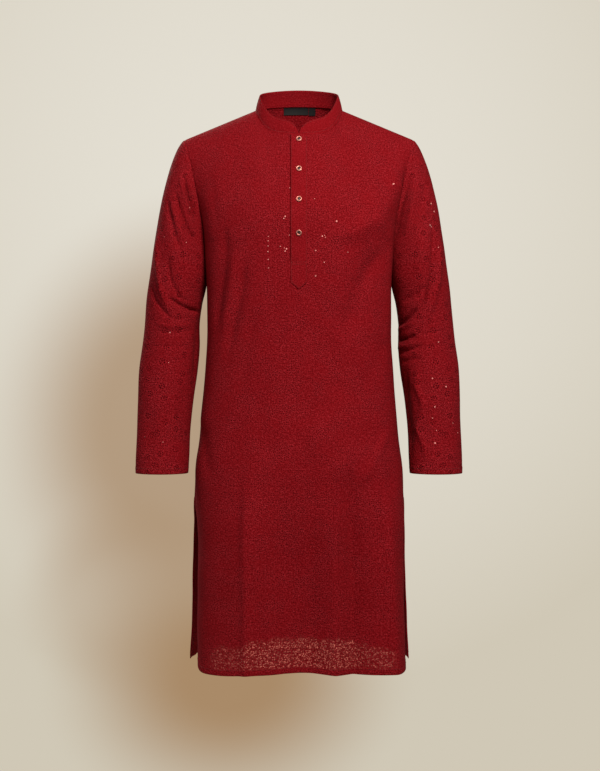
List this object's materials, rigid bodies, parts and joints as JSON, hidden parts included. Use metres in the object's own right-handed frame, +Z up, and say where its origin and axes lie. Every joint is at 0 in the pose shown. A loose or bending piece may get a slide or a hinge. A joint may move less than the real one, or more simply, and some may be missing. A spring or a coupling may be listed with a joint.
{
  "type": "kurta tunic",
  "caption": "Long straight kurta tunic, worn shape with nobody inside: stand collar, pointed half placket with buttons, long set-in sleeves, open side slits.",
  "frame": {"origin": "in the middle of the neck, level with the points where the shoulder seams meet the collar, where the wearer's shoulders hold the garment", "axes": "+Z up, the front faces -Y, +X towards the wearer's left arm"},
  "size_m": [0.6046, 0.2565, 1.0922],
  "materials": {
    "kurta_cloth": "matte crimson cotton, embroidered all over in its own colour",
    "placket_cloth": "plain crimson cotton, edge stitched",
    "button_metal": "rose gold rim round a dark centre",
    "label_weave": "bare black woven label"
  },
  "bodies": {
    "root": {"front_panel": "kurta_cloth", "back_panel": "kurta_cloth", "sleeve_left": "kurta_cloth", "sleeve_right": "kurta_cloth", "collar_band": "kurta_cloth", "placket": "placket_cloth", "button_1": "button_metal", "button_2": "button_metal", "button_3": "button_metal", "button_4": "button_metal", "neck_label": "label_weave", "size_tab": "label_weave"}
  },
  "joints": []
}
